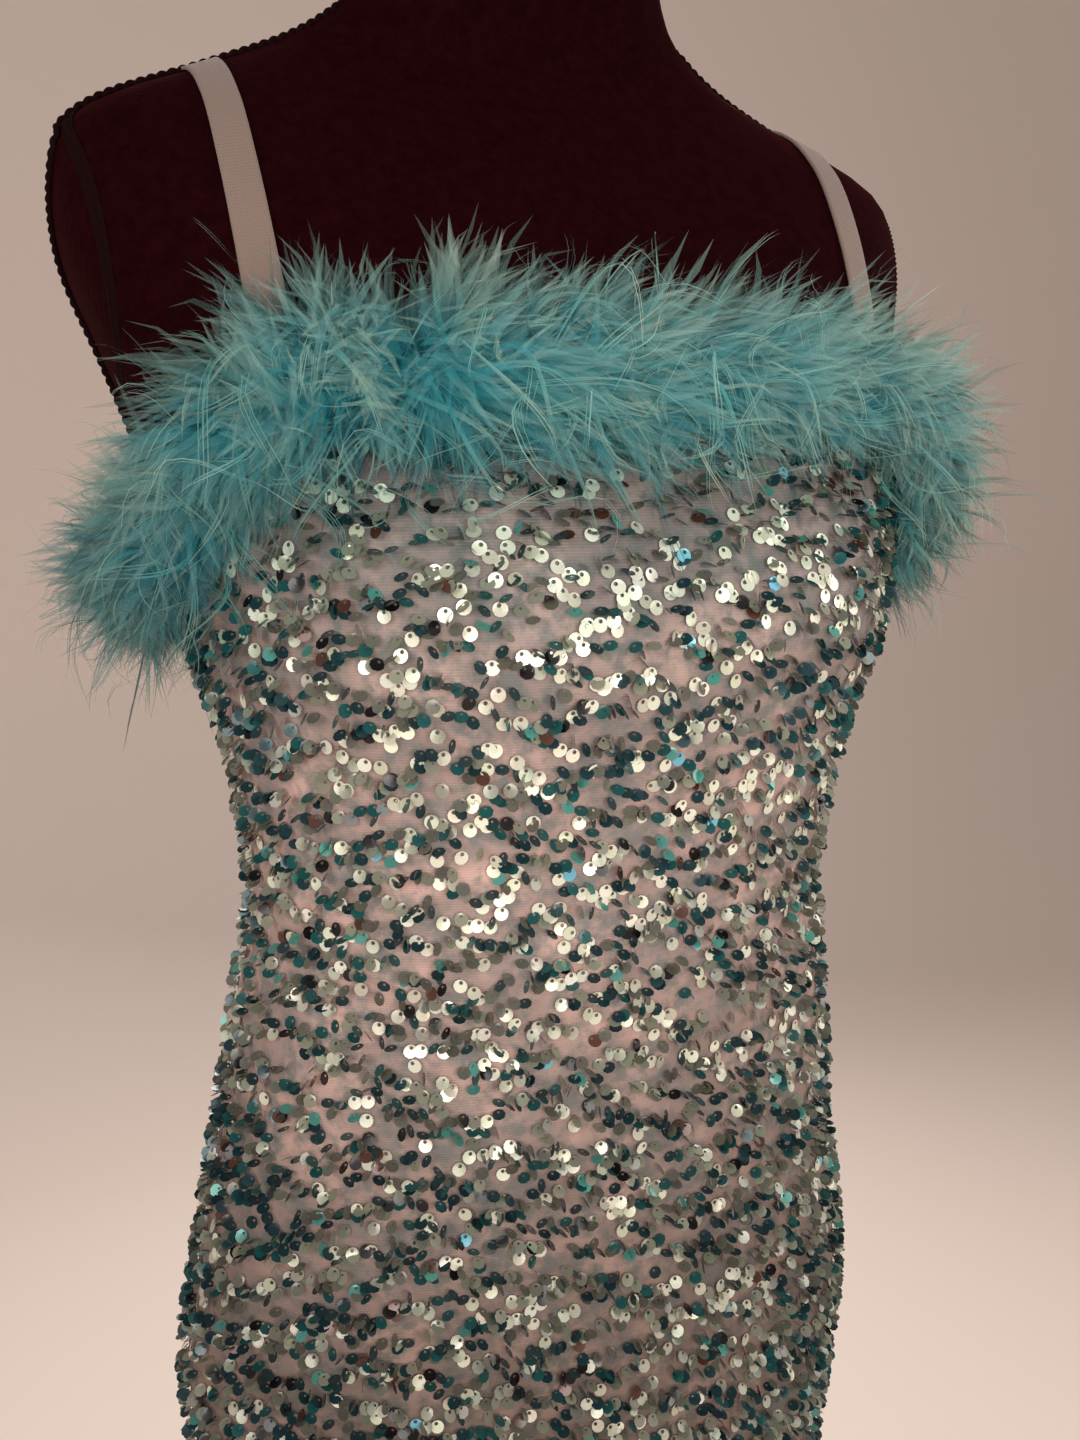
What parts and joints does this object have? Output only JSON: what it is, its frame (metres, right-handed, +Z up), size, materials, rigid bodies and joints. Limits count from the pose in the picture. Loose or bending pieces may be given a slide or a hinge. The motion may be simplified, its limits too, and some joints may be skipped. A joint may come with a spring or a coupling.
{
  "type": "sequin mini dress on a dress form",
  "caption": "Sleeveless bodycon mini dress with elastic straps, all-over sequins and a feather-trimmed top edge, worn by a limbless dress form on a stand.",
  "frame": {"origin": "on the floor, at the centre of the underside of the stand's round base", "axes": "+Z up along the pole, the front of the dress faces -Y, +X is to the right of a person who looks at its front"},
  "size_m": [0.3868, 0.34, 1.5025],
  "materials": {
    "sequinned_knit": "pinkish rib knit covered with loose chains of cup sequins",
    "elastic": "matte woven elastic",
    "feather": "soft teal marabou down with pale tips",
    "jersey": "matte stretch jersey",
    "stand_metal": "satin metal"
  },
  "bodies": {
    "root": {"front_panel": "sequinned_knit", "back_panel": "sequinned_knit", "strap_left": "elastic", "strap_right": "elastic", "feather_trim": "feather", "form_torso": "jersey", "stand_pole": "stand_metal", "stand_base": "stand_metal"}
  },
  "joints": []
}
